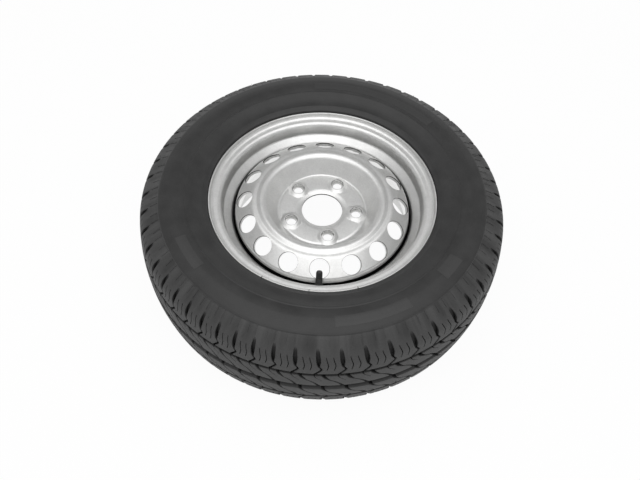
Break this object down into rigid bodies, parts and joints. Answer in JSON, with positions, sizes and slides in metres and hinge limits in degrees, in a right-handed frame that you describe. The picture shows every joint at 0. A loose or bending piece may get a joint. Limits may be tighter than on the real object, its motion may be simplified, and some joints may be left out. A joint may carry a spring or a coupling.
{
  "type": "trailer spare wheel",
  "caption": "Pressed-steel trailer wheel with round vents, raised stud seats and a hub bore, carrying a tubeless radial tyre and a snap-in valve with a screw cap.",
  "frame": {"origin": "the wheel's centre, where its axis crosses the rim's mid-plane", "axes": "+Z along the wheel's axis towards the outboard side, up as the wheel lies flat; the valve stands at -Y"},
  "size_m": [0.5898, 0.5898, 0.189],
  "materials": {
    "tyre_rubber": "matt moulded rubber, new",
    "silver_paint": "satin silver paint on rolled and pressed steel",
    "valve_rubber": "matt moulded rubber",
    "valve_brass": "turned",
    "seal_rubber": "matt",
    "spring_steel": "drawn wire",
    "cap_plastic": "moulded"
  },
  "bodies": {
    "wheel": {"tyre": "tyre_rubber", "rim": "silver_paint", "disc": "silver_paint", "disc_welds": "silver_paint", "valve_body": "valve_rubber", "valve_stem": "valve_brass", "core_barrel": "valve_brass", "core_barrel_seal": "seal_rubber", "core_spring": "spring_steel"},
    "valve_core": {"core_pin": "valve_brass", "core_cup": "valve_brass", "core_cup_seal": "seal_rubber"},
    "valve_cap": {"valve_cap": "cap_plastic", "cap_seal": "seal_rubber"}
  },
  "joints": [
    {"name": "core_press", "type": "slide", "parent": "wheel", "child": "valve_core", "axis": [0, -0.5736, -0.8192], "range_m": [0, 0.0012], "stiffness_N_per_m": 1000, "springref_m": -0.001, "deforming": ["core_spring"]},
    {"name": "cap_lift", "type": "slide", "parent": "wheel", "child": "valve_cap", "axis": [0, 0.5736, 0.8192], "range_m": [0, 0.016]}
  ]
}
